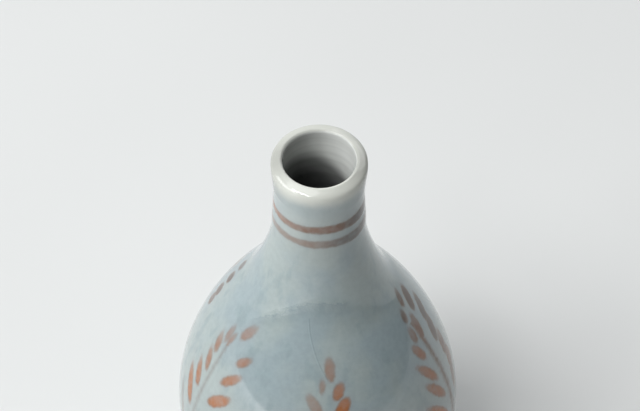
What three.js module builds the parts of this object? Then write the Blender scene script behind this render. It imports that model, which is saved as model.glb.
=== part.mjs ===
// A wheel-thrown porcelain bottle: a full, low belly is drawn up through a sloping shoulder into a slim
// neck that opens again to a thick rolled lip, and the whole stands on a turned foot ring. The lower
// bowl, upper bowl, neck, lip and foot are thrown or turned as separate sections and luted together with
// slip, each seam keyed by a shallow V. Two brushed rings of iron pigment go round the neck.
// Millimetres, +Z up, with the origin on the table under the middle of the foot.
import * as THREE from "three";

// Foot ring, which carries the bottle on a narrow flat face.
const footHeight = 6.5;
const footRadius = 31.2;
const footWidth = 4.4;
const footFlare = 0.8; // how far each side spreads from the table up to the bowl
const footEdgeRound = 0.7;
const recessRise = 1; // how far the underside of the bowl is hollowed at its middle

// The outside of the wall, as stations up its height. A lean is in degrees from upright, inwards.
const footLean = -58;
const bellyHeight = 54.4;
const bellyRadius = 55.15;
const shoulderRise = 65.3; // belly to the steepest point of the shoulder
const shoulderRadius = 29.5;
const shoulderLean = 37.2;
const neckFootRise = 34.7; // steepest point of the shoulder to the foot of the neck
const neckFootRadius = 16.9;
const neckFootLean = 1.5;
const waistRise = 16.9; // foot of the neck to its narrowest point
const waistRadius = 16.15;
const lipRise = 12.3; // narrowest point to the widest point of the lip
const lipRadius = 17;
const lipCrown = 2.8; // widest point of the lip to its crest
const mouthRadius = 12.85;

// Wall thicknesses, thinning up the pot as the clay is drawn up.
const floorThickness = 6.2;
const bellyWall = 4.8;
const shoulderWall = 4.2;
const neckFootWall = 3.6;
const waistWall = 3.3;

// Seams between the thrown sections. The belly's seam is at its widest point.
const neckSeamRise = 13.7; // above the steepest point of the shoulder
const lipSeamRise = 3.5; // above the narrowest point of the neck
const seamKeyDepth = 1.1;

// Pigment rings on the neck.
const bandWidth = 3.4;
const bandPitch = 7; // centre of one ring to centre of the other
const bandBuild = 0.25; // thickness of the pigment
const bandEdge = 0.5; // width over which a ring thins out
const upperBandDrop = 4.5; // narrowest point of the neck down to the centre of the upper ring

// Facets of the revolved surfaces.
const turnSteps = 64;
const outsideStep = 6;
const insideStep = 8.5;
const lipSteps = 14;
const edgeSteps = 3;

const shoulderHeight = bellyHeight + shoulderRise;
const neckFootHeight = shoulderHeight + neckFootRise;
const waistHeight = neckFootHeight + waistRise;
const lipHeight = waistHeight + lipRise;
const neckSeamHeight = shoulderHeight + neckSeamRise;
const lipSeamHeight = waistHeight + lipSeamRise;
const upperBandHeight = waistHeight - upperBandDrop;
const lowerBandHeight = upperBandHeight - bandPitch;
const footTopRadius = footRadius + footFlare;
const footInnerRadius = footRadius - footWidth;
const recessRadius = footInnerRadius - footFlare;

const glaze = finish("pale blue celadon glaze", 0xbccbcd, 0.22);
const lipGlaze = finish("thin warm glaze", 0xd3d5cc, 0.2);
const bareClay = finish("bare fired porcelain", 0xdcd3c4, 0.85);
const pigment = finish("iron brown pigment", 0x94604a, 0.3);

function finish(name, color, roughness) {
  return new THREE.MeshStandardMaterial({ name, color, roughness, metalness: 0 });
}

// One station of the wall. The reaches say how far the curve keeps to the lean below and above the
// station, as shares of the distance to the next one.
function station(radius, height, lean, reachBelow, reachAbove) {
  const angle = THREE.MathUtils.degToRad(lean);
  return {
    point: new THREE.Vector2(radius, height),
    along: new THREE.Vector2(-Math.sin(angle), Math.cos(angle)),
    reachBelow,
    reachAbove,
  };
}

// The same station on the other side of the wall.
function insideOf(outer, wall) {
  const outward = new THREE.Vector2(outer.along.y, -outer.along.x);
  return { ...outer, point: outer.point.clone().addScaledVector(outward, -wall) };
}

// A smooth line through stations, from the lowest to the highest.
function wallLine(stations) {
  const line = new THREE.CurvePath();
  for (let i = 1; i < stations.length; i++) {
    const below = stations[i - 1];
    const above = stations[i];
    const span = below.point.distanceTo(above.point);
    line.add(
      new THREE.CubicBezierCurve(
        below.point,
        below.point.clone().addScaledVector(below.along, below.reachAbove * span),
        above.point.clone().addScaledVector(above.along, -above.reachBelow * span),
        above.point,
      ),
    );
  }
  return line;
}

const belly = station(bellyRadius, bellyHeight, 0, 0.42, 0.38);
const shoulder = station(shoulderRadius, shoulderHeight, shoulderLean, 0.27, 0.27);
const neckFoot = station(neckFootRadius, neckFootHeight, neckFootLean, 0.22, 0.42);
const waist = station(waistRadius, waistHeight, 0, 0.33, 0.33);

const outside = wallLine([
  station(footTopRadius, footHeight, footLean, 0, 0.3),
  belly,
  shoulder,
  neckFoot,
  waist,
  station(lipRadius, lipHeight, 0, 0.33, 0),
]);
const inside = wallLine([
  station(0, footHeight + recessRise + floorThickness, -90, 0, 0.6),
  insideOf(belly, bellyWall),
  insideOf(shoulder, shoulderWall),
  insideOf(neckFoot, neckFootWall),
  insideOf(waist, waistWall),
  station(mouthRadius, lipHeight, 0, 0.33, 0),
]);

// How far along a line, from 0 to 1, it reaches a height. Both lines rise all the way.
function shareAt(line, height) {
  let low = 0;
  let high = 1;
  for (let i = 0; i < 40; i++) {
    const middle = (low + high) / 2;
    if (line.getPoint(middle).y < height) low = middle;
    else high = middle;
  }
  return (low + high) / 2;
}

// Points of a line between two shares of its length, both ends included, about one step apart.
function stretch(line, from, to, step) {
  const count = Math.max(1, Math.ceil(((to - from) * line.getLength()) / step));
  const points = [];
  for (let i = 0; i <= count; i++) points.push(line.getPoint(from + ((to - from) * i) / count));
  return points;
}

// The share of the inside line that lies straight through the wall from a share of the outside line.
function acrossWall(outerShare) {
  const point = outside.getPoint(outerShare);
  const tangent = outside.getTangent(outerShare);
  let low = 0;
  let high = 1;
  for (let i = 0; i < 40; i++) {
    const middle = (low + high) / 2;
    if (inside.getPoint(middle).sub(point).dot(tangent) < 0) low = middle;
    else high = middle;
  }
  return (low + high) / 2;
}

// A seam runs through the wall from the outside to the inside, with a V in its middle that keys the
// upper section into the lower one.
function seam(height) {
  const outer = shareAt(outside, height);
  const inner = acrossWall(outer);
  const from = outside.getPoint(outer);
  const to = inside.getPoint(inner);
  const through = to.clone().sub(from).normalize();
  const down = new THREE.Vector2(-through.y, through.x);
  const key = from.clone().lerp(to, 0.5).addScaledVector(down, down.y < 0 ? seamKeyDepth : -seamKeyDepth);
  return { outer, inner, from, key, to };
}

const bellySeam = seam(bellyHeight);
const neckSeam = seam(neckSeamHeight);
const lipSeam = seam(lipSeamHeight);

// Part of an ellipse round a centre, from one angle in degrees to the other, without its first point.
function ellipse(centreRadius, centreHeight, radiusX, radiusY, from, to, steps) {
  const points = [];
  for (let i = 1; i <= steps; i++) {
    const angle = THREE.MathUtils.degToRad(from + ((to - from) * i) / steps);
    points.push(
      new THREE.Vector2(centreRadius + radiusX * Math.cos(angle), centreHeight + radiusY * Math.sin(angle)),
    );
  }
  return points;
}

// Revolves a section about the bottle's axis. The section goes up the outside and down the inside, and
// either starts and ends on the axis or is closed here.
function revolved(name, material, section) {
  const outline = section[0].x === 0 ? section : [...section, section[0]];
  const geometry = new THREE.LatheGeometry(outline, turnSteps);
  geometry.rotateX(Math.PI / 2);
  const mesh = new THREE.Mesh(geometry, material);
  mesh.name = name;
  return mesh;
}

function footRing() {
  const outer = footRadius - footEdgeRound;
  const inner = footInnerRadius + footEdgeRound;
  return revolved("foot_ring", bareClay, [
    new THREE.Vector2(outer, 0),
    ...ellipse(outer, footEdgeRound, footEdgeRound, footEdgeRound, -90, 0, edgeSteps),
    new THREE.Vector2(footTopRadius, footHeight),
    new THREE.Vector2(recessRadius, footHeight),
    new THREE.Vector2(footInnerRadius, footEdgeRound),
    ...ellipse(inner, footEdgeRound, footEdgeRound, footEdgeRound, 180, 270, edgeSteps),
  ]);
}

// The underside stands on the foot ring and is hollowed a little within it.
function lowerBowl() {
  return revolved("lower_bowl", glaze, [
    new THREE.Vector2(0, footHeight + recessRise),
    new THREE.Vector2(recessRadius, footHeight),
    ...stretch(outside, 0, bellySeam.outer, outsideStep),
    bellySeam.key,
    ...stretch(inside, 0, bellySeam.inner, insideStep).reverse(),
  ]);
}

function upperBowl() {
  return revolved("upper_bowl", glaze, [
    ...stretch(outside, bellySeam.outer, neckSeam.outer, outsideStep),
    neckSeam.key,
    ...stretch(inside, bellySeam.inner, neckSeam.inner, insideStep).reverse(),
    bellySeam.key,
  ]);
}

// Where a pigment ring starts and ends on the outside line.
function bandShares(height) {
  return [shareAt(outside, height - bandWidth / 2), shareAt(outside, height + bandWidth / 2)];
}

// The neck's outside is straight under each pigment ring, so that the ring lies close on it.
function neck() {
  const [lowerFrom, lowerTo] = bandShares(lowerBandHeight);
  const [upperFrom, upperTo] = bandShares(upperBandHeight);
  return revolved("neck", glaze, [
    ...stretch(outside, neckSeam.outer, lowerFrom, outsideStep),
    ...stretch(outside, lowerTo, upperFrom, outsideStep),
    ...stretch(outside, upperTo, lipSeam.outer, outsideStep),
    lipSeam.key,
    ...stretch(inside, neckSeam.inner, lipSeam.inner, insideStep).reverse(),
    neckSeam.key,
  ]);
}

function lip() {
  const middle = (lipRadius + mouthRadius) / 2;
  const half = (lipRadius - mouthRadius) / 2;
  return revolved("lip", lipGlaze, [
    ...stretch(outside, lipSeam.outer, 1, lipRise / 3),
    ...ellipse(middle, lipHeight, half, lipCrown, 0, 180, lipSteps),
    ...stretch(inside, lipSeam.inner, 1, lipRise / 3).reverse().slice(1),
    lipSeam.key,
  ]);
}

function pigmentBand(name, height) {
  const [from, to] = bandShares(height).map((share) => outside.getPoint(share));
  const up = to.clone().sub(from).normalize();
  const out = new THREE.Vector2(up.y, -up.x);
  return revolved(name, pigment, [
    from,
    from.clone().addScaledVector(up, bandEdge).addScaledVector(out, bandBuild),
    to.clone().addScaledVector(up, -bandEdge).addScaledVector(out, bandBuild),
    to,
  ]);
}

const bottle = new THREE.Group();
bottle.add(
  footRing(),
  lowerBowl(),
  upperBowl(),
  neck(),
  lip(),
  pigmentBand("upper_neck_band", upperBandHeight),
  pigmentBand("lower_neck_band", lowerBandHeight),
);

export default bottle;
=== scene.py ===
"""A wheel-thrown bottle in pale blue-grey celadon glaze, painted with sprays of leaves, on a studio floor."""

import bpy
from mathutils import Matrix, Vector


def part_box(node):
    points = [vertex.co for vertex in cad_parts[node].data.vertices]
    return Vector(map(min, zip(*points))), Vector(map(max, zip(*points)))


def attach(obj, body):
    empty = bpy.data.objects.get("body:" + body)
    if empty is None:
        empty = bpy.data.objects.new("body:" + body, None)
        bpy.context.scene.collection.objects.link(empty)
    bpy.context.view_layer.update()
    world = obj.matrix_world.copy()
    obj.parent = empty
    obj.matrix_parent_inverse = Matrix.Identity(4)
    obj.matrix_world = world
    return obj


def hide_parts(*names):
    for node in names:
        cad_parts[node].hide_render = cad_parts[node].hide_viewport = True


bl_info = {
    "name": "Thrown Ceramic Bottle",
    "version": (1, 0, 0),
    "blender": (4, 5, 0),
    "location": "View3D > Sidebar > Bottle",
    "description": "Makes a thrown, glazed and brush-painted bottle and the studio it stands in",
    "category": "Add Mesh",
}

import math
from collections import namedtuple

import bmesh
import bpy
import numpy as np
from bpy.props import FloatProperty, FloatVectorProperty, IntProperty, PointerProperty
from mathutils import Matrix, Vector
from mathutils.geometry import interpolate_bezier

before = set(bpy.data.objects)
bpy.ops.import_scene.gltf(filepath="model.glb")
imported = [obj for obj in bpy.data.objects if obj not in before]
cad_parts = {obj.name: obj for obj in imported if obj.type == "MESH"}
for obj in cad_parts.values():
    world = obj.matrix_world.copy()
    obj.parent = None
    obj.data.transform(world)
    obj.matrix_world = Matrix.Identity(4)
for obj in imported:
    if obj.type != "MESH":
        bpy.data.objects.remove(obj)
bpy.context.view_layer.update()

MM = 0.001
MERGE = 0.002 * MM  # points nearer to each other than this become one
SHORT_STEP = 0.02 * MM
CURVE_POINTS = 1200
SHARP_EDGE = math.radians(30)
RELIEF = 0.01 * MM  # what a height of 1 stands for in a material


# Sizes and colours that a user would change.


def length(name, default, description):
    return FloatProperty(name=name, default=default, description=description, unit="LENGTH", precision=5)


def share(name, default, description):
    return FloatProperty(name=name, default=default, description=description, min=0, max=1, subtype="FACTOR")


def turn(name, degrees, description):
    return FloatProperty(name=name, default=math.radians(degrees), description=description, unit="ROTATION")


def tint(name, default, description):
    return FloatVectorProperty(
        name=name, default=default, description=description, subtype="COLOR", size=3, min=0, max=1
    )


def watts(lamp, default):
    description = f"Power of the {lamp.lower()}"
    return FloatProperty(name=lamp, default=default, description=description, unit="POWER", min=0)


class BottleForm(bpy.types.PropertyGroup):
    """Sizes of the thrown form."""

    foot_height: length("Foot height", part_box("foot_ring")[1].z, "Table to the top of the foot ring")
    foot_radius: length("Foot radius", 0.0312, "Outer radius of the foot ring at the table")
    foot_width: length("Foot width", 0.0044, "Width of the foot ring at the table")
    foot_flare: length("Foot flare", 0.0008, "How far each side of the foot spreads up to the bowl")
    foot_round: length("Foot edge", 0.0007, "Radius of the foot's lower edges")
    recess_rise: length("Recess rise", 0.001, "How far the underside is hollowed at its middle")
    foot_lean: turn("Foot lean", -58, "Lean of the bowl where it leaves the foot")
    belly_height: length("Belly height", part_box("lower_bowl")[1].z, "Height of the widest point")
    belly_radius: length("Belly radius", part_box("lower_bowl")[1].x, "Radius at the widest point")
    shoulder_rise: length("Shoulder rise", 0.0653, "Widest point to the steepest point of the shoulder")
    shoulder_radius: length("Shoulder radius", 0.0295, "Radius at the steepest point of the shoulder")
    shoulder_lean: turn("Shoulder lean", 37.2, "Inward lean of the shoulder's steepest point")
    neck_foot_rise: length("Neck foot rise", 0.0347, "Steepest point of the shoulder to the neck's foot")
    neck_foot_radius: length("Neck foot radius", 0.0169, "Radius at the foot of the neck")
    neck_foot_lean: turn("Neck foot lean", 1.5, "Inward lean at the foot of the neck")
    waist_rise: length("Waist rise", 0.0169, "Foot of the neck to its narrowest point")
    waist_radius: length("Waist radius", 0.01615, "Radius at the narrowest point of the neck")
    lip_rise: length("Lip rise", 0.0123, "Narrowest point to the widest point of the lip")
    lip_radius: length("Lip radius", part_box("lip")[1].x, "Radius at the widest point of the lip")
    lip_crown: length("Lip crown", 0.0021, "Widest point of the lip to its crest")
    lip_corner: length("Lip corner", 0.0013, "Widest point of the lip down to the start of its outer corner")
    lip_edge: length("Lip edge", 0.0011, "Radius of the lip's edge over the mouth")
    mouth_tilt: turn("Mouth tilt", 2.9, "How far the hand-made mouth tips towards the front")
    tilt_gain: share("Outer tilt", 1.0, "How much more the lip's outer corner tips than its edge does")
    tilt_pivot: length("Tilt pivot", 0.009, "How far in front of the axis the tilt keeps the lip's height")
    mouth_radius: length("Mouth radius", 0.01285, "Radius of the opening")
    floor_wall: length("Floor thickness", 0.0062, "Thickness of the clay under the belly")
    belly_wall: length("Belly wall", 0.0048, "Wall at the widest point")
    shoulder_wall: length("Shoulder wall", 0.0042, "Wall at the shoulder")
    neck_foot_wall: length("Neck foot wall", 0.0036, "Wall at the foot of the neck")
    waist_wall: length("Waist wall", 0.0033, "Wall at the narrowest point of the neck")
    neck_seam_rise: length("Neck seam rise", 0.0137, "Steepest point of the shoulder to the neck's seam")
    lip_seam_rise: length("Lip seam rise", 0.0035, "Narrowest point of the neck to the lip's seam")
    seam_key: length("Seam key", 0.0011, "Depth of the V that keys each seam")
    sectors: IntProperty(name="Sectors", default=28, min=4, description="Equal sectors in a full turn")
    sector_steps: IntProperty(name="Sector steps", default=16, min=1, description="Facets in one sector")
    outside_step: length("Outside step", 0.0008, "Facet length up the outside")
    inside_step: length("Inside step", 0.003, "Facet length up the inside")


class NeckRings(bpy.types.PropertyGroup):
    """The two brushed rings round the neck."""

    width: length("Ring width", 0.0034, "Width of a ring at the front")
    pitch: length("Ring pitch", 0.007, "Centre of one ring to the centre of the other")
    drop: length("Upper ring drop", 0.0045, "Narrowest point of the neck down to the upper ring")
    build: length("Ring build", 0.00006, "Thickness of the pigment")
    waver: length("Ring waver", 0.0002, "How far a ring wanders up and down on its way round")
    swelling: share("Ring swelling", 0.26, "How much a ring thickens towards the right")


class GlazeLook(bpy.types.PropertyGroup):
    """Colours of the glaze, the clay and the pigment."""

    celadon: tint("Celadon", (0.326, 0.395, 0.418), "Glaze of ordinary thickness")
    pooled: tint("Pooled glaze", (0.262, 0.335, 0.350), "Glaze where it runs thick")
    # Painted reflection: this dark colour also marks where the floor's reflection in the glaze ends, along
    # and below the ragged line.
    dip: tint("Dip's end", (0.180, 0.240, 0.265), "Glaze along the ragged line where its last dip ends")
    green: tint("Green glaze", (0.378, 0.437, 0.431), "Glaze in greener patches")
    thin: tint("Thin glaze", (0.672, 0.690, 0.636), "Warm glaze over the lip, where it runs thin")
    throat: tint("Throat glaze", (0.690, 0.710, 0.685), "Glaze just inside the mouth")
    # Painted shade: the dark colour deep inside the neck and belly stands for the shade down there.
    hollow_shade: tint("Hollow glaze", (0.080, 0.083, 0.082), "Thin dark glaze down inside the neck and belly")
    clay: tint("Bare clay", (0.700, 0.640, 0.550), "Clay that was wiped before firing")
    flash: tint("Flashed clay", (0.560, 0.390, 0.270), "Warm line where the glaze stops")
    orange: tint("Pigment", (0.376, 0.155, 0.070), "Middle of a well-loaded stroke")
    umber: tint("Cold pigment", (0.100, 0.087, 0.080), "Middle of a cold, greyish stroke")
    rim: tint("Pigment rim", (0.215, 0.172, 0.134), "Thin paint at the rim of a stroke")
    bleed: tint("Pigment bleed", (0.270, 0.250, 0.268), "Glaze stained by the paint beside it")
    gloss: share("Roughness", 0.06, "Roughness of the fired glaze")


class StudioSetup(bpy.types.PropertyGroup):
    """Camera, lamps and floor."""

    camera_lift: turn("Camera elevation", 45.5, "Elevation of the camera as seen from the lip")
    camera_pitch: turn("Camera pitch", 46.9, "How far the camera looks down")
    camera_roll: turn("Camera roll", 0.45, "Turn of the camera about its own axis")
    camera_distance: length("Camera distance", 0.6156, "Camera to the middle of the lip")
    camera_side: length("Camera offset", 0.00035, "How far the camera stands to the right")
    lens: FloatProperty(name="Lens", default=100, description="Focal length in millimetres")
    front_low: watts("Low front softbox", 31.5)
    front_high: watts("High front softbox", 17.5)
    key: watts("Key lamp", 13.5)
    back_high: watts("High back softbox", 1.5)
    back_right: watts("Back right softbox", 14.2)
    room: share("Room light", 0.56, "Brightness of the room's even light")
    backdrop: share("Backdrop", 0.8, "Brightness of the backdrop behind the floor")
    floor_tint: tint("Floor", (0.72, 0.733, 0.729), "Colour of the floor")


# The wall's outline, as radius and height in metres.


Station = namedtuple("Station", "point along reach_below reach_above")


def station(radius, height, lean, reach_below, reach_above):
    """A point of the wall and its lean inwards. The reaches say how far the line keeps to it."""
    along = Vector((-math.sin(lean), math.cos(lean)))
    return Station(Vector((radius, height)), along, reach_below, reach_above)


def inside_of(outer, wall):
    """The same station on the other side of the wall."""
    outward = Vector((outer.along.y, -outer.along.x))
    return outer._replace(point=outer.point - outward * wall)


class WallLine:
    """A smooth line through stations, from the lowest to the highest."""

    def __init__(self, stations):
        points = []
        for below, above in zip(stations, stations[1:]):
            span = (above.point - below.point).length
            handle_below = below.point + below.along * (below.reach_above * span)
            handle_above = above.point - above.along * (above.reach_below * span)
            curve = interpolate_bezier(below.point, handle_below, handle_above, above.point, CURVE_POINTS)
            points += curve[1:] if points else curve
        self.points = np.array(points)
        steps = np.diff(self.points, axis=0)
        self.arc = np.concatenate([[0], np.cumsum(np.hypot(steps[:, 0], steps[:, 1]))])
        self.length = self.arc[-1]

    def at(self, arc):
        return np.stack([np.interp(arc, self.arc, self.points[:, i]) for i in (0, 1)], axis=-1)

    def arc_at(self, height):
        return np.interp(height, self.points[:, 1], self.arc)

    def radius_at(self, height):
        return np.interp(height, self.points[:, 1], self.points[:, 0])

    def run(self, start, end, step):
        """Points from one arc length to another, with a very short first and last step.

        The short steps give both sides of a seam the same normal, so the shading runs on across it.
        """
        count = max(2, math.ceil((end - start) / step))
        arcs = np.linspace(start, end, count + 1)
        arcs = np.concatenate([arcs, [start + SHORT_STEP, end - SHORT_STEP]])
        return self.at(np.sort(arcs))


Seam = namedtuple("Seam", "outer inner key")


class Wall:
    """The outside and inside of the bottle's wall, with the seams between its thrown sections."""

    def __init__(self, form):
        self.belly_height = form.belly_height
        self.shoulder_height = self.belly_height + form.shoulder_rise
        neck_foot_height = self.shoulder_height + form.neck_foot_rise
        self.waist_height = neck_foot_height + form.waist_rise
        self.lip_height = self.waist_height + form.lip_rise
        foot_top = station(form.foot_radius + form.foot_flare, form.foot_height, form.foot_lean, 0, 0.3)
        belly = station(form.belly_radius, self.belly_height, 0, 0.42, 0.38)
        shoulder = station(form.shoulder_radius, self.shoulder_height, form.shoulder_lean, 0.27, 0.27)
        neck_foot = station(form.neck_foot_radius, neck_foot_height, form.neck_foot_lean, 0.22, 0.42)
        waist = station(form.waist_radius, self.waist_height, 0, 0.33, 0.33)
        lip = station(form.lip_radius, self.lip_height, 0, 0.33, 0)
        self.outside = WallLine([foot_top, belly, shoulder, neck_foot, waist, lip])
        floor_height = form.foot_height + form.recess_rise + form.floor_wall
        floor = station(0, floor_height, -math.pi / 2, 0, 0.6)
        walls = (form.belly_wall, form.shoulder_wall, form.neck_foot_wall, form.waist_wall)
        inner = [inside_of(outer, wall) for outer, wall in zip((belly, shoulder, neck_foot, waist), walls)]
        mouth = station(form.mouth_radius, self.lip_height, 0, 0.33, 0)
        self.inside = WallLine([floor, *inner, mouth])
        self.key_depth = form.seam_key
        self.belly_seam = self.seam(self.belly_height)
        self.neck_seam = self.seam(self.shoulder_height + form.neck_seam_rise)
        self.lip_seam = self.seam(self.waist_height + form.lip_seam_rise)

    def seam(self, height):
        """A seam straight through the wall, with a V in its middle that keys one section into the next."""
        outer = float(self.outside.arc_at(height))
        start = self.outside.at(outer)
        tangent = self.outside.at(outer + 0.1 * MM) - self.outside.at(outer - 0.1 * MM)
        inner = float(np.interp(0, (self.inside.points - start) @ tangent, self.inside.arc))
        end = self.inside.at(inner)
        through = (end - start) / np.linalg.norm(end - start)
        across = np.array([-through[1], through[0]])
        key = (start + end) / 2 + across * math.copysign(self.key_depth, -across[1])
        return Seam(outer, inner, key)


def circle_points(centre, radius, start, end, steps):
    """Points of a circle from one angle in degrees to the other, without the first."""
    angles = np.radians(np.linspace(start, end, steps + 1)[1:])
    return np.stack([centre[0] + radius * np.cos(angles), centre[1] + radius * np.sin(angles)], axis=-1)


def add_object(name, data):
    """Adds a mesh, a lamp or a camera to the scene."""
    added = bpy.data.objects.new(name, data)
    bpy.context.scene.collection.objects.link(added)
    return added


def add_piece(name, sheet):
    mesh = bpy.data.meshes.new(name)
    sheet.to_mesh(mesh)
    sheet.free()
    return add_object(name, mesh)


def revolve(name, outline, form):
    """Spins an outline about the bottle's axis into a closed, smooth piece.

    The outline is spun through one sector, and copies of the sector make the full turn.
    """
    sheet = bmesh.new()
    points = [sheet.verts.new((radius, 0, height)) for radius, height in outline]
    edges = [sheet.edges.new(pair) for pair in zip(points, points[1:])]
    if outline[0][0] > 0:
        edges.append(sheet.edges.new((points[-1], points[0])))
    sector = math.tau / form.sectors
    axis = {"cent": (0, 0, 0), "axis": (0, 0, 1)}
    bmesh.ops.spin(sheet, geom=points + edges, angle=sector, steps=form.sector_steps, **axis)
    geometry = sheet.verts[:] + sheet.edges[:] + sheet.faces[:]
    rest = {"angle": math.tau - sector, "steps": form.sectors - 1, "use_duplicate": True}
    bmesh.ops.spin(sheet, geom=geometry, **rest, **axis)
    bmesh.ops.remove_doubles(sheet, verts=sheet.verts, dist=MERGE)
    bmesh.ops.recalc_face_normals(sheet, faces=sheet.faces)
    for face in sheet.faces:
        face.smooth = True
    piece = add_piece(name, sheet)
    piece.data.set_sharp_from_angle(angle=SHARP_EDGE)
    return piece


def fit(piece, node, material):
    """Puts a piece in the place of its solid and gives it its finish."""
    piece.data.materials.append(material)
    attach(piece, "root")
    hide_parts(node)


# The brushwork. Places on the wall are given as degrees round the bottle, with 0 at the front and more to
# the right, and as millimetres up the wall from the belly's widest line.


Leaf = namedtuple("Leaf", "across climb length width lean load warmth tip")
Spray = namedtuple("Spray", "turn drift top bottom stem_width stem_load leaves")
BRUSH_FIELDS = ("stroke_edge", "stroke_load", "stroke_warmth", "stem_offset", "stem_reach")
DIP_FIELDS = ("run_offset", "run_reach", "dip_offset", "dip_reach")
FAR = 20 * MM  # how far from any brush stroke a point is taken to be when no stroke is near
BESIDE = 3 * MM  # how far beside a stem or a ridge its fields are kept
STEM_HALF = 0.5 * MM  # half the width of a plain stem
RIDGE_HALF = 0.4 * MM
STEM_BAND = 2.8 * MM  # how far beside a stem the brush's load is the stem's own
STEM_WARMTH = 0.15
LEAF_GAP = 0.5 * MM  # how far from a leaf the stem's own load begins
BLUNT = 2.3  # how round a leaf's lower end is
LOAD_FALL = 0.2  # how much less load a leaf has at its upper end than in its middle
OUTER_REACH = 0.2 * MM  # how near the wall's outside line a painted point lies
INNER_REACH = 0.3 * MM  # how far a point of the inner wall lies outside its line at most
TILT_START = 2.25 * MM  # how far below the neck's narrowest point the mouth's tilt begins


def leaf(across, climb, length, lean, width, load, warmth, tip=1.8):
    """A leaf by its middle across and up from the stem's line, its length, lean and width.

    Lengths are in millimetres and the lean in degrees. The rest is the brush's load, how warm its pigment is,
    and how blunt the leaf's upper end is.
    """
    return Leaf(across * MM, climb * MM, length * MM, width * MM, math.radians(lean), load, warmth, tip)


LEFT_SPRAY = (
    leaf(5.0, 66.3, 9.4, 20, 4.4, 0.62, 0.7),
    leaf(10.6, 55.6, 7.8, 36, 4.1, 0.72, 0.85),
    leaf(10.1, 45.6, 10.4, 37, 4.3, 0.85, 0.9, tip=2.2),
    leaf(10.0, 34.1, 12.8, 42, 5.2, 0.98, 1, tip=2.2),
    leaf(0.2, 59.0, 6.6, 12, 2.6, 0.6, 0.65),
    leaf(-2.1, 59.4, 8.6, 2, 3.1, 0.62, 0.6),
    leaf(-4.7, 52.4, 9.2, -13, 3.7, 0.72, 0.7),
    leaf(-4.6, 43.6, 10.0, -21, 3.7, 0.78, 0.8),
    leaf(-6.2, 34.4, 12.0, -27, 4.3, 0.88, 0.95),
    leaf(-8.5, 25.2, 16.8, -31, 5.0, 0.98, 1),
    leaf(10.9, 20.5, 13.2, 43, 5.4, 0.95, 1),
    leaf(-11.2, 11.5, 21.0, -30, 4.0, 0.42, 0.3),
    leaf(11.0, 7.0, 13.0, 44, 5.2, 0.9, 0.9),
    leaf(-9.6, -5.5, 13.2, -38, 4.6, 0.9, 0.8),
    leaf(9.6, -7.0, 11.6, 45, 4.6, 0.85, 0.8),
)
FRONT_SPRAY = (
    leaf(0.4, 62.2, 9.6, -2, 4.0, 0.62, 0.75, tip=2.2),
    leaf(-2.7, 56.0, 5.8, 3, 2.5, 0.55, 0.7, tip=2.2),
    leaf(3.2, 53.3, 7.6, 18, 4.2, 0.85, 0.95, tip=2.2),
    leaf(4.5, 46.6, 9.0, 26, 4.9, 1, 1, tip=2.6),
    leaf(-5.9, 48.2, 10.4, -26, 4.4, 0.52, 0.7, tip=2.2),
    leaf(7.2, 36.5, 10.8, 34, 4.8, 0.95, 1),
    leaf(-7.4, 37.5, 11.0, -30, 4.4, 0.9, 0.9),
    leaf(9.0, 25.5, 12.4, 40, 5.2, 1, 1),
    leaf(-9.0, 26.0, 13.0, -34, 4.8, 0.9, 0.9),
    leaf(10.4, 13.0, 13.0, 43, 5.4, 0.95, 0.95),
    leaf(-9.8, 12.5, 14.0, -36, 4.8, 0.95, 0.9),
    leaf(10.2, -0.5, 12.6, 44, 5.0, 0.9, 0.85),
    leaf(-9.4, -2.5, 12.8, -38, 4.6, 0.85, 0.8),
)
RIGHT_SPRAY = (
    leaf(3.9, 69.6, 7.8, 22, 3.4, 0.91, 0.2, tip=2),
    leaf(8.7, 64.5, 10.4, 24, 5.4, 1.25, 0.1, tip=2.3),
    leaf(-0.9, 64.3, 6.2, 14, 3.4, 0.68, 0.3, tip=2),
    leaf(1.6, 55.8, 12.4, 9, 4.2, 1, 0.35, tip=2.4),
    leaf(-3.4, 56.4, 8.0, 6, 3.9, 0.75, 0.4, tip=2),
    leaf(-6.1, 49.0, 10.2, -17, 4.2, 0.85, 0.75, tip=2.2),
    leaf(-8.0, 39.1, 15.4, -26, 4.3, 0.97, 0.85, tip=2),
    leaf(-8.3, 28.9, 17.0, -29, 4.3, 1, 0.85, tip=2.4),
    leaf(-11.8, 19.8, 18.6, -35, 4.8, 1, 1, tip=2),
    leaf(12.0, 54.8, 12.0, 26, 5.6, 1.3, 0.05),
    leaf(9.8, 46.0, 12.4, 17, 5.8, 1.3, 0.1),
    leaf(10.9, 35.9, 12.6, 9, 6.0, 1, 0.3),
    leaf(11.2, 26.4, 12.2, 5, 6.4, 1.3, 0.4),
    leaf(8.5, 18.9, 12.6, 8, 5.6, 1.2, 0.3),
    leaf(-10.6, 5.6, 14.0, -36, 4.6, 1, 0.9),
    leaf(9.8, 4.0, 12.6, 42, 4.8, 1, 0.85),
    leaf(-9.4, -7.0, 13.0, -38, 4.4, 0.97, 0.8),
)
FAR_SPRAY = (
    leaf(6.7, 69.9, 5.4, -22, 4.4, 0.8, 0.1),
    leaf(9.8, 63.0, 6.0, -14, 5.2, 1, 0.1),
    leaf(11.8, 55.3, 6.6, -9, 5.6, 1, 0.15),
    leaf(13.3, 49.6, 6.8, 8, 5.0, 1, 0.2),
    *LEFT_SPRAY[4:],
)
# Each spray's place and how far left it leans by the belly's widest line, the top and bottom of its stem, how
# wide the stem is next to a plain one, the brush's load in it, and the leaves.
SPRAYS = (
    Spray(-60.2, 4.6, 61.0, -22.0, 1.9, 0.38, LEFT_SPRAY),
    Spray(6.6, 0.0, 44.0, -20.0, 1.2, 0.40, FRONT_SPRAY),
    Spray(73.2, -2.5, 60.0, -24.0, 2.8, 1.05, RIGHT_SPRAY),
    Spray(158.0, 1.0, 60.0, -21.0, 1.3, 0.45, LEFT_SPRAY),
    Spray(-121.0, -7.0, 61.0, -22.0, 1.3, 0.50, FAR_SPRAY),
)
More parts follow.
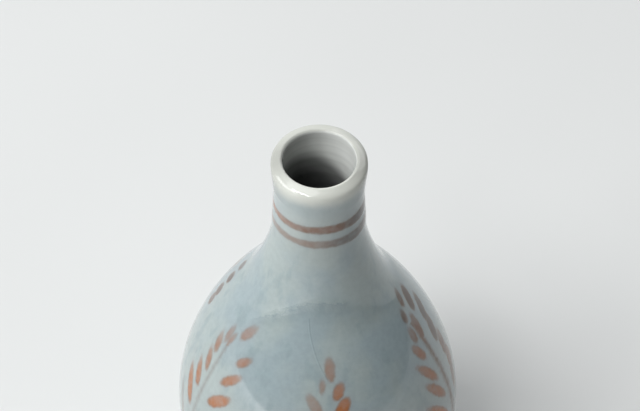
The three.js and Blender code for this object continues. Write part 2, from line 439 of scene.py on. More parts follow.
# A fine ridge where one dip of glaze ran over another: degrees round and millimetres up, from its foot.
RUN_TURNS = (5.6, 0.35, -4.0, -6.5, -8.0)
RUN_CLIMBS = (58.0, 64.8, 71.7, 76.5, 81.7)
# The ragged line above it, where the last dip ends and where a painted reflection edge runs, from its left
# end.
DIP_TURNS = (-60.0, -54.6, -40.4, -28.4, -17.0, -6.0, 7.0, 18.2, 36.0)
DIP_CLIMBS = (69.0, 71.7, 78.1, 82.1, 85.8, 87.3, 87.8, 86.8, 86.0)


def inside_leaf(across, climb, stroke):
    """How far points lie inside a leaf's edge, negative outside it, and the brush's load there.

    A leaf is an oval whose upper end comes to a point where its tip is below 2.
    """
    beside, above = across - stroke.across, climb - stroke.climb
    along = above * math.cos(stroke.lean) + beside * math.sin(stroke.lean)
    aside = beside * math.cos(stroke.lean) - above * math.sin(stroke.lean)
    share_along = along / (stroke.length / 2)
    share_aside = aside / (stroke.width / 2)
    power = np.where(share_along > 0, stroke.tip, BLUNT)
    reach = np.abs(share_along) ** power + np.abs(share_aside) ** 2
    edge = (1 - np.sqrt(reach)) * stroke.width / 2
    load = stroke.load * (1 - LOAD_FALL * np.clip(share_along, -1, 1))
    return edge, load


def blank_fields(count):
    """Brush fields that hold no stroke."""
    fields = {name: np.zeros(count) for name in BRUSH_FIELDS + DIP_FIELDS}
    for name in ("stroke_edge", "stem_reach", "run_reach", "dip_reach"):
        fields[name] -= FAR
    return fields


def lay_stroke(fields, where, **values):
    for name, value in values.items():
        fields[name] = np.where(where, value, fields[name])


def paint_sprays(around, climb, radius):
    """Brush fields of the sprays at points of the outside wall."""
    fields = blank_fields(len(around))
    for spray in SPRAYS:
        top = spray.top * MM
        stem_turn = spray.turn - spray.drift * (1 - climb / top)
        across = np.radians((around - stem_turn + 180) % 360 - 180) * radius
        for stroke in spray.leaves:
            edge, load = inside_leaf(across, climb, stroke)
            nearer = edge > fields["stroke_edge"]
            lay_stroke(fields, nearer, stroke_edge=edge, stroke_load=load, stroke_warmth=stroke.warmth)
        taper = 0.75 + 0.4 * np.clip(1 - climb / top, 0, 1)
        reach = np.minimum(np.minimum(top - climb, climb - spray.bottom * MM), BESIDE - np.abs(across))
        offset = across / (taper * spray.stem_width)
        lay_stroke(fields, reach > fields["stem_reach"], stem_offset=offset, stem_reach=reach)
        bare = (reach > 0) & (np.abs(across) < STEM_BAND) & (fields["stroke_edge"] < -LEAF_GAP)
        lay_stroke(fields, bare, stroke_load=spray.stem_load, stroke_warmth=STEM_WARMTH)
    return fields


def trace_dips(around, climb, radius):
    """Fields of the ridge in the glaze, and of the ragged line where its last dip ends."""
    run_turn = np.interp(climb, np.multiply(RUN_CLIMBS, MM), RUN_TURNS)
    run_offset = np.radians(around - run_turn) * radius
    run_ends = np.minimum(climb - RUN_CLIMBS[0] * MM, RUN_CLIMBS[-1] * MM - climb)
    dip_ends = np.minimum(around - DIP_TURNS[0], DIP_TURNS[-1] - around)
    return {
        "run_offset": run_offset,
        "run_reach": np.minimum(run_ends, BESIDE - np.abs(run_offset)),
        "dip_offset": climb - np.interp(around, DIP_TURNS, np.multiply(DIP_CLIMBS, MM)),
        "dip_reach": np.radians(dip_ends) * radius,
    }


def ring_centres(wall, rings):
    """Heights of the upper and the lower ring."""
    upper = wall.waist_height - rings.drop
    return upper, upper - rings.pitch


def paint_rings(around, height, wall, rings):
    """Brush fields of the two rings at points of the neck's outside."""
    side = np.radians(around)
    fields = blank_fields(len(around))
    for centre, load, phase in zip(ring_centres(wall, rings), (0.96, 0.74), (0.4, 2.1)):
        wander = rings.waver * (np.sin(side * 2 + phase) + 0.5 * np.sin(side * 5 + 3 * phase))
        swell = 1.2 - 0.2 * np.cos(side) + 0.05 * np.sin(side * 7 + phase)
        swell += rings.swelling * np.sin(side + 0.15)
        edge = rings.width / 2 * swell - np.abs(height - centre - wander)
        brushed = load * (1 + 0.22 * np.sin(side - 0.2))
        warmth = load * (0.42 - 0.36 * np.sin(side) + 0.12 * np.sin(side * 4 + phase))
        nearer = edge > fields["stroke_edge"]
        lay_stroke(fields, nearer, stroke_edge=edge, stroke_load=brushed, stroke_warmth=np.clip(warmth, 0, 1))
    return fields


def points_of(mesh):
    points = np.empty(len(mesh.vertices) * 3)
    mesh.vertices.foreach_get("co", points)
    return points.reshape(-1, 3)


def paint(piece, wall, rings=None):
    """Writes the strokes, the lines of the dips and the inner wall on a piece's points, for its material.

    The strokes are those of the rings where rings are given, and else those of the sprays.
    """
    mesh = piece.data
    x, y, height = points_of(mesh).T
    radius = np.hypot(x, y)
    around = np.degrees(np.arctan2(x, -y))
    outer = np.abs(radius - wall.outside.radius_at(height)) < OUTER_REACH
    climb = wall.outside.arc_at(height[outer]) - wall.belly_seam.outer
    if rings:
        found = paint_rings(around[outer], height[outer], wall, rings)
    else:
        found = paint_sprays(around[outer], climb, radius[outer])
    found.update(trace_dips(around[outer], climb, radius[outer]))
    fields = blank_fields(len(x))
    for name, values in found.items():
        fields[name][outer] = values
    above_floor = height > wall.inside.points[0, 1] - MM
    within = radius < wall.inside.radius_at(height) + INNER_REACH
    fields["inner_wall"] = (within & above_floor).astype(float)
    for name, values in fields.items():
        mesh.attributes.new(name, "FLOAT", "POINT").data.foreach_set("value", values.astype(np.float32))


def tip_mouth(piece, wall, form):
    """Tips the top of the neck and the lip a little towards the front, as the hand left them."""
    mesh = piece.data
    points = points_of(mesh)
    start = wall.waist_height - TILT_START
    share_up = np.clip((points[:, 2] - start) / (wall.lip_height - start), 0, 1)
    share_up = share_up**2 * (3 - 2 * share_up)
    radius = np.hypot(points[:, 0], points[:, 1])
    share_out = (radius - form.mouth_radius) / (form.lip_radius - form.mouth_radius)
    reach = points[:, 1] * (1 + form.tilt_gain * share_out) + form.tilt_pivot
    points[:, 2] += math.tan(form.mouth_tilt) * reach * share_up
    mesh.vertices.foreach_set("co", points.ravel())
    mesh.update()


# Materials.


# Heights between which a finish changes, in metres.
GREENER = (0.104, 0.086)
GATHER_FROM = (0.086, 0.108)
GATHER_TO = (0.150, 0.132)
# Painted shade inside the throat: heights between which it darkens, and then darkens further down.
THROAT_SHADE = (0.1795, 0.1715)
THROAT_DEPTH_SHADE = (0.1726, 0.1638)
WIPED = (0.0019, 0.0022)
FLASHED = 0.0017  # height of the flashed line
# How far above the shoulder's steepest point, and how far below the lip's widest, the glaze runs thin.
NECK_THIN = 0.025
LIP_THIN = (0.0068, 0.0006)


def fill(tree, sockets, values):
    """Fills sockets, by name or number, with links, numbers or colours."""
    for key, value in values.items():
        socket = sockets[key]
        if isinstance(value, bpy.types.NodeSocket):
            tree.links.new(value, socket)
        else:
            socket.default_value = (*value, 1.0) if socket.type == "RGBA" else value


def place(tree, kind, sockets=None, **settings):
    """Adds a shader node with its settings, and fills its sockets."""
    node = tree.nodes.new("ShaderNode" + kind)
    for name, value in settings.items():
        setattr(node, name, value)
    fill(tree, node.inputs, sockets or {})
    return node


def coordinates(tree):
    return place(tree, "TexCoord").outputs["Object"]


def split(tree, vector):
    return place(tree, "SeparateXYZ", {0: vector}).outputs


def calc(tree, operation, *values):
    return place(tree, "Math", dict(enumerate(values)), operation=operation).outputs[0]


def times(tree, first, second):
    return calc(tree, "MULTIPLY", first, second)


def blend(tree, amount, low, high):
    """Goes from one number to another while an amount goes from 0 to 1."""
    return place(tree, "Mix", {0: amount, 2: low, 3: high}).outputs[0]


def mix(tree, amount, below, above, mode="MIX"):
    sockets = {0: amount, 6: below, 7: above}
    return place(tree, "Mix", sockets, data_type="RGBA", blend_type=mode).outputs[2]


def scale_colour(tree, colour, amount):
    grey = place(tree, "CombineColor", {0: amount, 1: amount, 2: amount}).outputs[0]
    return mix(tree, 1.0, colour, grey, "MULTIPLY")


def fade(tree, value, start, end, low=0.0, high=1.0):
    """Goes smoothly from low to high while a value goes from start to end."""
    sockets = {"Value": value, "From Min": start, "From Max": end, "To Min": low, "To Max": high}
    return place(tree, "MapRange", sockets, interpolation_type="SMOOTHSTEP").outputs["Result"]


def noise(tree, vector, size, detail=3, roughness=0.5):
    """Cloudy noise from 0 to 1 whose patches are about the given size in metres."""
    sockets = {"Vector": vector, "Scale": 1 / size, "Detail": detail, "Roughness": roughness}
    return place(tree, "TexNoise", sockets).outputs[0]


def wander(tree, where, size, reach, value):
    """Moves a value up and down with cloudy noise."""
    uneven = calc(tree, "SUBTRACT", noise(tree, where, size), 0.5)
    return calc(tree, "MULTIPLY_ADD", uneven, reach, value)


def stretched(tree, vector, scale):
    return place(tree, "Mapping", {"Vector": vector, "Scale": scale}).outputs[0]


def field(tree, name):
    return place(tree, "Attribute", attribute_name=name).outputs["Fac"]


def new_group(name, inputs, outputs):
    """A node group with named sockets, each given as its name, kind and default."""
    tree = bpy.data.node_groups.new(name, "ShaderNodeTree")
    for direction, sockets in (("INPUT", inputs), ("OUTPUT", outputs)):
        for label, kind, default in sockets:
            socket = tree.interface.new_socket(name=label, in_out=direction, socket_type="NodeSocket" + kind)
            if default is not None:
                socket.default_value = default
    return tree, tree.nodes.new("NodeGroupInput").outputs, tree.nodes.new("NodeGroupOutput").inputs


def inner_colour_and_shade(tree, look, x, height, rings):
    """Glaze inside, from the pale throat down to a dark painted shade deep inside, which reaches higher at
    the left, and with painted shade over the left wall.
    """
    slanted = calc(tree, "MULTIPLY_ADD", x, 0.12, height)
    slanted = calc(tree, "MULTIPLY_ADD", calc(tree, "SMOOTH_MAX", x, 0.0, 0.009), 0.8, slanted)
    # Painted shade: darker further down inside, starting higher at the left.
    colour = mix(tree, fade(tree, slanted, *THROAT_SHADE, high=0.8), look.throat, look.hollow_shade)
    colour = mix(tree, fade(tree, slanted, *THROAT_DEPTH_SHADE), colour, look.hollow_shade)
    banding = fade(tree, rings, 0.38, 0.62, 0.94, 1.06)
    # The throwing rings band the colour, and the left wall is darker as painted shade.
    return scale_colour(tree, colour, times(tree, banding, fade(tree, x, -0.010, 0.005, low=0.66)))


def glaze_group(look):
    """Celadon glaze: cloudy colour, soft runs, throwing marks and the fine peel of its surface, with painted
    shade down inside.
    """
    inputs = (("Thinness", "Float", 0.0), ("Inner Wall", "Float", 0.0))
    outputs = (("Color", "Color", None), ("Roughness", "Float", None), ("Height", "Float", None))
    tree, given, result = new_group("Celadon glaze", inputs, outputs)
    where = coordinates(tree)
    x, _, height = split(tree, where)
    clouds = noise(tree, where, 0.024)
    greener = calc(tree, "MAXIMUM", fade(tree, clouds, 0.40, 0.62), fade(tree, height, *GREENER, high=0.9))
    colour = mix(tree, greener, look.celadon, look.green)
    runs = noise(tree, stretched(tree, where, (1, 1, 0.22)), 0.0055)
    gathered = times(tree, fade(tree, height, *GATHER_FROM), fade(tree, height, *GATHER_TO))
    pooling = calc(tree, "MULTIPLY_ADD", gathered, 0.18, fade(tree, runs, 0.50, 0.72, high=0.5))
    colour = mix(tree, pooling, colour, look.pooled)
    mottle = noise(tree, where, 0.0023, detail=4, roughness=0.6)
    colour = scale_colour(tree, colour, fade(tree, mottle, 0.3, 0.7, low=0.965, high=1.035))
    specks = place(tree, "TexVoronoi", {"Vector": where, "Scale": 1 / 0.0042}, feature="F1")
    speck = fade(tree, specks.outputs["Distance"], 0.045, 0.02, high=0.28)
    colour = mix(tree, speck, colour, look.umber)
    colour = mix(tree, given["Thinness"], colour, look.thin)
    rings = noise(tree, stretched(tree, where, (0.03, 0.03, 1)), 0.0032, detail=2)
    # Painted shade on the inner wall.
    colour = mix(tree, given["Inner Wall"], colour, inner_colour_and_shade(tree, look, x, height, rings))
    smears = noise(tree, where, 0.009)
    roughness = fade(tree, smears, 0.35, 0.7, look.gloss * 0.85, look.gloss * 1.25)
    marks = noise(tree, stretched(tree, where, (0.06, 0.06, 1)), 0.0021, detail=2)
    swell = noise(tree, where, 0.011, detail=1)
    relief = times(tree, noise(tree, where, 0.0016, roughness=0.55), 1.3)
    for part, depth in ((marks, 0.6), (swell, 1.2), (rings, times(tree, given["Inner Wall"], 8.0))):
        relief = calc(tree, "MULTIPLY_ADD", part, depth, relief)
    fill(tree, result, {"Color": colour, "Roughness": roughness, "Height": relief})
    return tree


def lay_strokes(tree, look, where, glaze):
    """Strokes under a glaze, each with a warm middle, a greyer rim and a faint bleed, and their mask."""
    stem = calc(tree, "SUBTRACT", STEM_HALF, calc(tree, "ABSOLUTE", field(tree, "stem_offset")))
    stem = calc(tree, "MINIMUM", stem, field(tree, "stem_reach"))
    edge = wander(tree, where, 0.0018, 0.0009, calc(tree, "MAXIMUM", field(tree, "stroke_edge"), stem))
    wash = noise(tree, where, 0.0030)
    load = times(tree, field(tree, "stroke_load"), fade(tree, wash, 0.25, 0.75, 0.80, 1.08))
    middle = mix(tree, field(tree, "stroke_warmth"), look.umber, look.orange)
    rim = mix(tree, 0.55, middle, look.rim)
    pigment = mix(tree, fade(tree, edge, 0.0000, 0.0012), rim, middle)
    mask = times(tree, fade(tree, edge, -0.0006, 0.0006), load)
    bleed = times(tree, fade(tree, edge, -0.0026, 0.0002, high=0.16), load)
    return mix(tree, mask, mix(tree, bleed, glaze, look.bleed), pigment), mask


def lay_dips(tree, look, where, colour):
    """The ridge and the last dip's ragged end on a colour, with painted reflection along that end, and their
    relief.
    """
    ridge = calc(tree, "SUBTRACT", RIDGE_HALF, calc(tree, "ABSOLUTE", field(tree, "run_offset")))
    ridge = fade(tree, calc(tree, "MINIMUM", ridge, field(tree, "run_reach")), -0.0001, 0.0004)
    colour = mix(tree, times(tree, ridge, 0.16), colour, look.dip)
    crumbs = noise(tree, where, 0.0019, roughness=0.6)
    torn = calc(tree, "MULTIPLY_ADD", crumbs, 0.006, calc(tree, "SUBTRACT", field(tree, "dip_offset"), 0.003))
    apart = calc(tree, "ABSOLUTE", torn)
    ends = fade(tree, field(tree, "dip_reach"), 0.0, 0.006)
    # Painted reflection: the dark ragged line and the darker band below it are where the pale floor's
    # reflection in the glaze ends; the crumbs are the relief of the last dip's ragged end.
    line = fade(tree, apart, 0.0006, 0.0001, high=0.35)
    below = times(tree, fade(tree, torn, 0.0003, -0.0003), fade(tree, torn, -0.009, -0.001))
    shade = times(tree, calc(tree, "MAXIMUM", line, times(tree, below, 0.25)), ends)
    rough = times(tree, fade(tree, apart, 0.0024, 0.0006), ends)
    relief = calc(tree, "MULTIPLY_ADD", ridge, 6.0, times(tree, times(tree, crumbs, rough), 7.0))
    return mix(tree, shade, colour, look.dip), relief


def brush_group(look):
    """Brushwork under the glaze, the lines that its dips leave, and a painted reflection edge along the last.
    """
    inputs = (("Glaze", "Color", (*look.celadon, 1.0)),)
    outputs = (("Color", "Color", None), ("Mask", "Float", None), ("Relief", "Float", None))
    tree, given, result = new_group("Brushwork", inputs, outputs)
    where = coordinates(tree)
    colour, mask = lay_strokes(tree, look, where, given["Glaze"])
    colour, relief = lay_dips(tree, look, where, colour)
    fill(tree, result, {"Color": colour, "Mask": mask, "Relief": relief})
    return tree


def use_group(tree, name, maker, look, sockets=None):
    """Places a node group, which is made when it is first asked for."""
    group = bpy.data.node_groups.get(name) or maker(look)
    return place(tree, "Group", sockets, node_tree=group).outputs


def celadon(tree, look, thinness):
    sockets = {"Thinness": thinness, "Inner Wall": field(tree, "inner_wall")}
    return use_group(tree, "Celadon glaze", glaze_group, look, sockets)


def new_material(name):
    material = bpy.data.materials.new(name)
    material.use_nodes = True
    tree = material.node_tree
    return material, tree, tree.nodes["Principled BSDF"].inputs


def dress(tree, shader, colour, roughness, relief):
    """Gives a material's shader its colour, roughness and relief."""
    normal = place(tree, "Bump", {"Height": relief, "Distance": RELIEF, "Strength": 1.0}).outputs[0]
    fill(tree, shader, {"Base Color": colour, "Roughness": roughness, "Normal": normal})


def painted_glaze(look, wall, name):
    """Glaze over brushwork, for the bowls, the neck and its rings."""
    material, tree, shader = new_material(name)
    height = split(tree, coordinates(tree))["Z"]
    thin = fade(tree, height, wall.shoulder_height + NECK_THIN, wall.waist_height, high=0.22)
    glaze = celadon(tree, look, thin)
    brushed = use_group(tree, "Brushwork", brush_group, look, {"Glaze": glaze["Color"]})
    relief = calc(tree, "MULTIPLY_ADD", brushed["Mask"], 0.6, glaze["Height"])
    relief = calc(tree, "ADD", brushed["Relief"], relief)
    dress(tree, shader, brushed["Color"], glaze["Roughness"], relief)
    return material


def lip_glaze(look, wall):
    """Glaze that runs thin and warm over the lip, with painted shade at the lip's sides and back."""
    material, tree, shader = new_material("Lip glaze")
    where = coordinates(tree)
    _, depth, height = split(tree, where)
    height = wander(tree, where, 0.004, 0.0018, height)
    thin = fade(tree, height, *(wall.lip_height - drop for drop in LIP_THIN), low=0.22)
    glaze = celadon(tree, look, thin)
    # Painted shade: the outside of the lip is darker at its sides and a little darker at its back, but not
    # inside the mouth.
    shade = fade(tree, calc(tree, "ABSOLUTE", depth), 0.001, 0.015, low=0.64)
    shade = times(tree, shade, fade(tree, depth, 0.004, 0.013, 1.0, 0.88))
    shade = calc(tree, "MAXIMUM", shade, field(tree, "inner_wall"))
    dress(tree, shader, scale_colour(tree, glaze["Color"], shade), glaze["Roughness"], glaze["Height"])
    return material


def foot_finish(look):
    """Glaze down to a wiped line, and bare clay below it."""
    material, tree, shader = new_material("Wiped foot")
    where = coordinates(tree)
    height = wander(tree, where, 0.008, 0.0014, split(tree, where)["Z"])
    glazed = fade(tree, height, *WIPED)
    grain = noise(tree, where, 0.0007, detail=4, roughness=0.7)
    clay = mix(tree, fade(tree, grain, 0.3, 0.75), look.clay, [c * 0.86 for c in look.clay])
    from_flash = calc(tree, "ABSOLUTE", calc(tree, "SUBTRACT", height, FLASHED))
    clay = mix(tree, fade(tree, from_flash, 0.0007, 0.0, high=0.7), clay, look.flash)
    glaze = use_group(tree, "Celadon glaze", glaze_group, look)
    roughness = blend(tree, glazed, fade(tree, grain, 0.3, 0.7, 0.72, 0.9), glaze["Roughness"])
    relief = calc(tree, "MULTIPLY_ADD", grain, 2.0, times(tree, glazed, 12.0))
    dress(tree, shader, mix(tree, glazed, clay, glaze["Color"]), roughness, relief)
    return material


# One operator for each group of pieces, and one for the stage.


FOOT_ROUND_STEPS = 6
FOOT_SIDE_POINTS = (7, 5)  # up the outside of the foot, and down its inside
RING_POINTS = 15
RING_REACH = 0.72  # how far a ring's solid reaches from its centre, as a share of its width
SLOPE_POINTS = 40
EDGE_STEPS = 12
# How full the lip's slope is: how far it keeps upright at its corner, and how far it spreads out and falls
# from its crest, as shares of its height and width.
LIP_RISE = 0.62
LIP_SPREAD = 0.97
LIP_FALL = 0.35


class MakeFoot(bpy.types.Operator):
    """Turn the foot ring, glazed outside and wiped bare where it stands"""

    bl_idname = "bottle.make_foot"
    bl_label = "Foot Ring"

    def execute(self, context):
        form = context.scene.bottle_form
        outer = form.foot_radius - form.foot_round
        inner_radius = form.foot_radius - form.foot_width
        inner = inner_radius + form.foot_round
        edge = form.foot_round
        top_outer = (form.foot_radius + form.foot_flare, form.foot_height)
        top_inner = (inner_radius - form.foot_flare, form.foot_height)
        round_outer = circle_points((outer, edge), edge, -90, 0, FOOT_ROUND_STEPS)
        round_inner = circle_points((inner, edge), edge, 180, 270, FOOT_ROUND_STEPS)
        outside = np.linspace(round_outer[-1], top_outer, FOOT_SIDE_POINTS[0])[1:]
        within = np.linspace(top_inner, round_inner[0], FOOT_SIDE_POINTS[1])[:-1]
        outline = [(outer, 0), *round_outer, *outside, *within, *round_inner]
        piece = revolve("turned_foot", outline, form)
        fit(piece, "foot_ring", foot_finish(context.scene.glaze_look))
        return {"FINISHED"}


class MakeBowls(bpy.types.Operator):
    """Throw the lower and upper bowl and paint the sprays on them"""

    bl_idname = "bottle.make_bowls"
    bl_label = "Bowls"

    def execute(self, context):
        form = context.scene.bottle_form
        wall = Wall(form)
        belly, neck = wall.belly_seam, wall.neck_seam
        material = painted_glaze(context.scene.glaze_look, wall, "Painted glaze")
        recess_radius = form.foot_radius - form.foot_width - form.foot_flare
        lower = [
            (0, form.foot_height + form.recess_rise),
            (recess_radius * 0.5, form.foot_height + form.recess_rise * 0.75),
            (recess_radius, form.foot_height),
            *wall.outside.run(0, belly.outer, form.outside_step),
            belly.key,
            *wall.inside.run(0, belly.inner, form.inside_step)[::-1],
        ]
        upper = [
            *wall.outside.run(belly.outer, neck.outer, form.outside_step),
            neck.key,
            *wall.inside.run(belly.inner, neck.inner, form.inside_step)[::-1],
            belly.key,
        ]
        names = ("belly_bowl", "shoulder_bowl")
        for name, node, outline in zip(names, ("lower_bowl", "upper_bowl"), (lower, upper)):
            piece = revolve(name, outline, form)
            paint(piece, wall)
            fit(piece, node, material)
        return {"FINISHED"}


class MakeNeck(bpy.types.Operator):
    """Draw up the neck and brush its two rings on"""

    bl_idname = "bottle.make_neck"
    bl_label = "Neck and Rings"

    def execute(self, context):
        form = context.scene.bottle_form
        rings = context.scene.neck_rings
        wall = Wall(form)
        neck, lip = wall.neck_seam, wall.lip_seam
        outline = [
            *wall.outside.run(neck.outer, lip.outer, form.outside_step * 0.75),
            lip.key,
            *wall.inside.run(neck.inner, lip.inner, form.inside_step * 0.5)[::-1],
            neck.key,
        ]
        tube = revolve("drawn_neck", outline, form)
        paint(tube, wall, rings)
        tip_mouth(tube, wall, form)
        fit(tube, "neck", painted_glaze(context.scene.glaze_look, wall, "Neck glaze"))
        material = painted_glaze(context.scene.glaze_look, wall, "Ring pigment")
        names = ("brushed_ring_upper", "brushed_ring_lower")
        nodes = ("upper_neck_band", "lower_neck_band")
        for name, node, centre in zip(names, nodes, ring_centres(wall, rings)):
            reach = rings.width * RING_REACH
            arcs = wall.outside.arc_at(np.linspace(centre - reach, centre + reach, RING_POINTS))
            under = wall.outside.at(arcs)
            dome = np.sqrt(1 - np.linspace(-1, 1, RING_POINTS) ** 2) * rings.build
            over = under + np.stack([dome, np.zeros(RING_POINTS)], axis=-1)
            ring = revolve(name, [*over, *(under[-2:0:-1] - np.array([rings.build, 0]))], form)
            paint(ring, wall, rings)
            fit(ring, node, material)
        return {"FINISHED"}


class MakeLip(bpy.types.Operator):
    """Roll the lip over the mouth"""

    bl_idname = "bottle.make_lip"
    bl_label = "Lip"

    def execute(self, context):
        form = context.scene.bottle_form
        wall = Wall(form)
        seam = wall.lip_seam
        edge = form.lip_edge
        crest = Vector((form.mouth_radius + edge, wall.lip_height + form.lip_crown))
        corner_arc = float(wall.outside.arc_at(wall.lip_height - form.lip_corner))
        corner = Vector(wall.outside.at(corner_arc))
        up, out = Vector((0, crest.y - corner.y)), Vector((corner.x - crest.x, 0))
        spread = crest + out * LIP_SPREAD - up * LIP_FALL
        slope = interpolate_bezier(corner, corner + up * LIP_RISE, spread, crest, SLOPE_POINTS)
        outline = [
            *wall.outside.run(seam.outer, corner_arc, form.outside_step)[:-2],
            *slope,
            *circle_points((crest.x, crest.y - edge), edge, 90, 180, EDGE_STEPS),
            *wall.inside.run(seam.inner, wall.inside.length, form.inside_step * 0.3)[:-2][::-1],
            seam.key,
        ]
        piece = revolve("rolled_lip", outline, form)
        paint(piece, wall, context.scene.neck_rings)
        tip_mouth(piece, wall, form)
        fit(piece, "lip", lip_glaze(context.scene.glaze_look, wall))
        return {"FINISHED"}


LAMP_TARGET = Vector((0, 0, 0.1))
LAMP_DISTANCE = 2.5
# Each lamp's name, azimuth, elevation, width and height, and the setting that holds its power.
LAMPS = (
    ("Softbox low front left", -74, 34, 2.2, 0.9, "front_low"),
    ("Softbox high front left", -50, 60, 2.0, 1.2, "front_high"),
    ("Key lamp", -43, 51, 1.4, 0.31, "key"),
    ("Softbox high back", 178, 64, 2.2, 1.2, "back_high"),
    ("Softbox back right", 150, 42, 2.0, 1.2, "back_right"),
)
LIP_CENTRE = 0.1844  # height of the lip's middle, in metres
# Plan of the flag from left to right, in metres, and each course's rise and how many times wider it spreads.
FLAG_FOLDS = ((-1.9, -0.60), (-1.2, -1.02), (0.17, -0.98), (0.55, -0.66), (0.95, 0.10), (0.75, 0.80))
FLAG_RISES = ((0.45, 1.0), (0.7, 2.6), (3.0, 1.0))
# The card starts at the flag's foot.
CARD_CORNERS = (*FLAG_FOLDS[:3], (0.50, -0.62), (0.12, -0.08), (-0.1, -0.1), (-1.2, 0.5))


def stage_piece(name, sheet, material):
    piece = add_piece(name, sheet)
    piece.data.materials.append(material)
    return piece


def toward(azimuth, elevation):
    """Direction from the bottle, with azimuth 0 at the front and more to the right, in degrees."""
    azimuth, elevation = math.radians(azimuth), math.radians(elevation)
    level = math.cos(elevation)
    return Vector((math.sin(azimuth) * level, -math.cos(azimuth) * level, math.sin(elevation)))


def softbox(name, azimuth, elevation, width, height, power):
    light = bpy.data.lights.new(name, "AREA")
    light.shape = "RECTANGLE"
    light.size = width
    light.size_y = height
    light.energy = power
    lamp = add_object(name, light)
    direction = toward(azimuth, elevation)
    lamp.location = LAMP_TARGET + direction * LAMP_DISTANCE
    lamp.rotation_euler = direction.to_track_quat("Z", "Y").to_euler()
    lamp.visible_camera = False


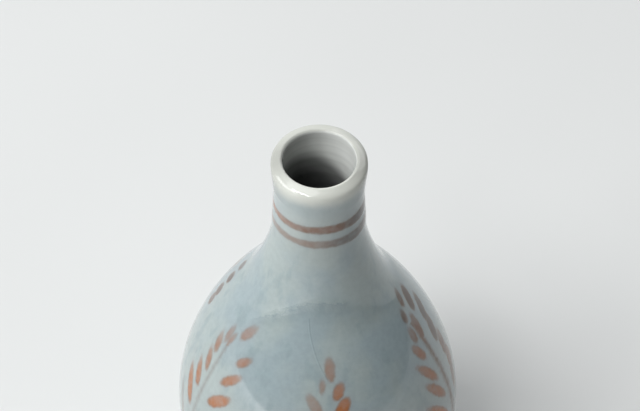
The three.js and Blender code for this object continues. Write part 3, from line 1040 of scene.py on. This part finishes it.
class SetStage(bpy.types.Operator):
    """Lay the floor, hang the lamps and set up the camera"""

    bl_idname = "bottle.set_stage"
    bl_label = "Studio"

    def execute(self, context):
        setup = context.scene.studio_setup
        self.lay_floor(setup)
        self.stand_flag()
        self.lay_card(setup)
        self.light_room(context.scene, setup)
        for name, azimuth, elevation, width, height, power in LAMPS:
            softbox(name, azimuth, elevation, width, height, getattr(setup, power))
        self.set_camera(context.scene, setup)
        context.scene.view_settings.view_transform = "Standard"
        return {"FINISHED"}

    def lay_floor(self, setup):
        material, tree, shader = new_material("Matt floor")
        clouds = noise(tree, coordinates(tree), 0.35, detail=2)
        darker = [c * 0.97 for c in setup.floor_tint]
        colour = mix(tree, fade(tree, clouds, 0.35, 0.65), setup.floor_tint, darker)
        fill(tree, shader, {"Base Color": colour, "Roughness": 0.9, "Specular IOR Level": 0.2})
        sheet = bmesh.new()
        bmesh.ops.create_grid(sheet, x_segments=2, y_segments=2, size=5)
        stage_piece("Floor", sheet, material)

    def stand_flag(self):
        """A folded dark flag at the front and right, hidden from the camera and casting no shadow, gives its
        reflections depth.

        It stands where the pale floor ends in the glaze, leans back and rises behind the front softboxes.
        """
        material, tree, shader = new_material("Flag cloth")
        weave = noise(tree, coordinates(tree), 0.03, detail=2)
        cloth = mix(tree, weave, (0.02, 0.02, 0.022), (0.035, 0.035, 0.037))
        fill(tree, shader, {"Base Color": cloth, "Roughness": 1})
        sheet = bmesh.new()
        folds = [sheet.verts.new((x, y, 0)) for x, y in FLAG_FOLDS]
        edges = [sheet.edges.new(pair) for pair in zip(folds, folds[1:])]
        for rise, spread in FLAG_RISES:
            made = bmesh.ops.extrude_edge_only(sheet, edges=edges)["geom"]
            raised = [part for part in made if isinstance(part, bmesh.types.BMVert)]
            edges = [part for part in made if isinstance(part, bmesh.types.BMEdge)]
            edges = [edge for edge in edges if all(vert in raised for vert in edge.verts)]
            bmesh.ops.scale(sheet, vec=(spread, spread, 1), verts=raised)
            bmesh.ops.translate(sheet, vec=(0, 0, rise), verts=raised)
        flag = stage_piece("Flag", sheet, material)
        flag.visible_camera = flag.visible_shadow = False

    def lay_card(self, setup):
        """A card on the floor, seen only in the glaze: bright at left and like the backdrop at the bottle."""
        material, tree, shader = new_material("Bright card")
        where = coordinates(tree)
        x, y, _ = split(tree, where)
        brightness = fade(tree, x, 0.45, -0.95, 0.25, 3.0)
        strength = blend(tree, fade(tree, y, -0.85, -0.15), brightness, setup.backdrop)
        glow = mix(tree, noise(tree, where, 0.08, detail=2), (0.96, 0.98, 1), (1, 1, 1))
        fill(tree, shader, {"Base Color": (0, 0, 0), "Emission Color": glow, "Emission Strength": strength})
        sheet = bmesh.new()
        sheet.faces.new([sheet.verts.new((x, y, MM)) for x, y in CARD_CORNERS])
        card = stage_piece("Card", sheet, material)
        card.visible_camera = card.visible_diffuse = card.visible_shadow = False

    def light_room(self, scene, setup):
        """Even, dim room light. Cameras and reflections see a pale backdrop instead."""
        world = bpy.data.worlds.new("Studio")
        world.use_nodes = True
        scene.world = world
        tree = world.node_tree
        path = place(tree, "LightPath").outputs
        seen = calc(tree, "MAXIMUM", path["Is Camera Ray"], path["Is Glossy Ray"])
        seen = calc(tree, "MAXIMUM", seen, path["Is Transmission Ray"])
        strength = blend(tree, seen, setup.room, setup.backdrop)
        sockets = {"Color": (0.98, 0.99, 1.0), "Strength": strength}
        fill(tree, tree.nodes["Background"].inputs, sockets)

    def set_camera(self, scene, setup):
        camera = bpy.data.cameras.new("Camera")
        camera.lens = setup.lens
        camera.clip_start = 0.05
        holder = add_object("Camera", camera)
        lip = Vector((setup.camera_side, 0, LIP_CENTRE))
        stand = lip + toward(0, math.degrees(setup.camera_lift)) * setup.camera_distance
        aim = Matrix.Rotation(math.pi / 2 - setup.camera_pitch, 4, "X")
        aim = aim @ Matrix.Rotation(setup.camera_roll, 4, "Z")
        holder.matrix_world = Matrix.Translation(stand) @ aim
        scene.camera = holder


class BottlePanel(bpy.types.Panel):
    """Lists the steps that make the bottle"""

    bl_idname = "VIEW3D_PT_bottle"
    bl_label = "Thrown Bottle"
    bl_space_type = "VIEW_3D"
    bl_region_type = "UI"
    bl_category = "Bottle"

    def draw(self, context):
        for step in STEPS:
            self.layout.operator(step.bl_idname)


SETTINGS = {
    "bottle_form": BottleForm,
    "neck_rings": NeckRings,
    "glaze_look": GlazeLook,
    "studio_setup": StudioSetup,
}
STEPS = (MakeFoot, MakeBowls, MakeNeck, MakeLip, SetStage)


def register():
    for name, group in SETTINGS.items():
        bpy.utils.register_class(group)
        setattr(bpy.types.Scene, name, PointerProperty(type=group))
    for step in (*STEPS, BottlePanel):
        bpy.utils.register_class(step)


def unregister():
    for step in (*STEPS, BottlePanel):
        bpy.utils.unregister_class(step)
    for name, group in SETTINGS.items():
        delattr(bpy.types.Scene, name)
        bpy.utils.unregister_class(group)


def main():
    register()
    bpy.ops.bottle.make_foot()
    bpy.ops.bottle.make_bowls()
    bpy.ops.bottle.make_neck()
    bpy.ops.bottle.make_lip()
    bpy.ops.bottle.set_stage()


if __name__ == "__main__":
    main()
